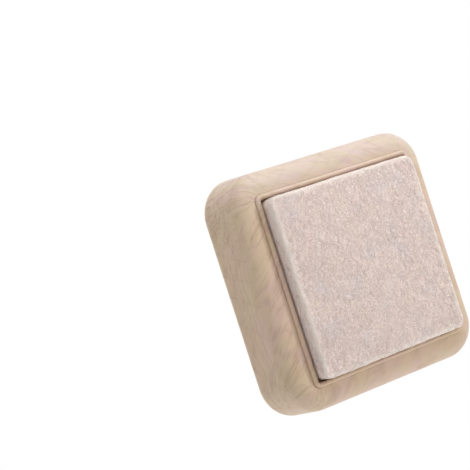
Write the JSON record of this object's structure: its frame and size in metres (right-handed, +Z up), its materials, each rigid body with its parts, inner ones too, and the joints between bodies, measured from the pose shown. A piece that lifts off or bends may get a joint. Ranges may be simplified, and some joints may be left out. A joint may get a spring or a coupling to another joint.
{
  "type": "felt-based furniture leg cup",
  "caption": "Square wood-grain moulded cup with upright walls and rounded corners that a furniture leg stands in, with a raised lip under its base that frames a thick, stuck-in felt pad.",
  "frame": {"origin": "centre of the felt's underside, where the part meets the ground", "axes": "+Z up out of the open cup, X and Y square to the walls"},
  "size_m": [0.07, 0.07, 0.0227],
  "materials": {
    "printed_plastic": "satin moulded plastic with a pale wood-grain print",
    "tape": "matt double-sided tape",
    "felt": "thick needle felt with loose surface fibres"
  },
  "bodies": {
    "root": {"cup": "printed_plastic", "adhesive_sheet": "tape", "felt_pad": "felt"}
  },
  "joints": []
}
